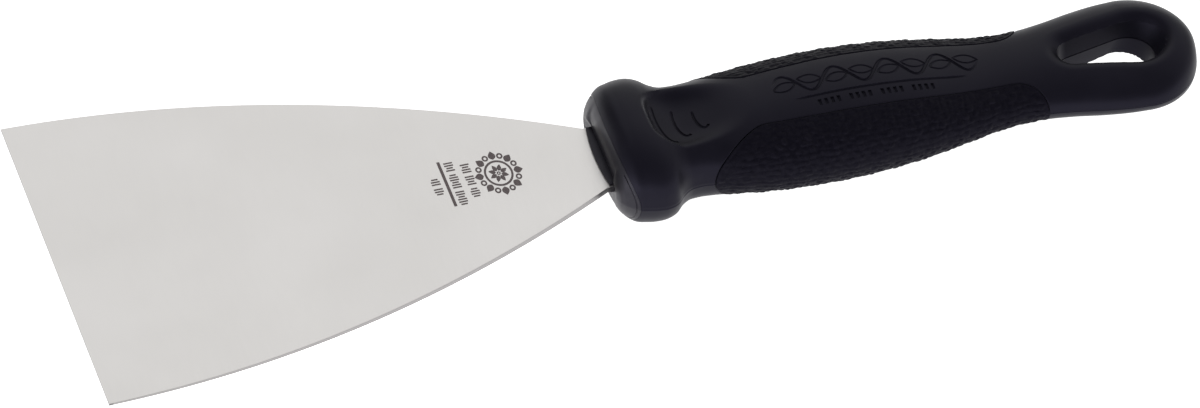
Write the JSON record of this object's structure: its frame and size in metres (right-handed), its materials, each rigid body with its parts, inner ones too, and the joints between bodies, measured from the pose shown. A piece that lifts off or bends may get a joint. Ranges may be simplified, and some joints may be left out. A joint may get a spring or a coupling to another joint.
{
  "type": "ink knife",
  "caption": "Triangular ink knife: thin flared steel blade with a straight edge, moulded into a contoured black handle with textured grip pads, thumb rests and a teardrop hang hole.",
  "frame": {"origin": "centre of the knife's bounding box, on its long axis and in the plane of the blade", "axes": "+X from the blade's edge to the hang loop, +Y across the blade, +Z out of the blade's upper face"},
  "size_m": [0.2264, 0.08, 0.0196],
  "materials": {
    "blade_steel": "fine satin stainless steel",
    "core_plastic": "satin neutral black moulded plastic",
    "body_plastic": "satin bluish black moulded plastic",
    "grip_rubber": "matt black thermoplastic rubber with a fine woven relief"
  },
  "bodies": {
    "root": {"blade": "blade_steel", "handle_core": "core_plastic", "handle_body": "body_plastic", "grip_pad_left": "grip_rubber", "grip_pad_right": "grip_rubber"}
  },
  "joints": []
}
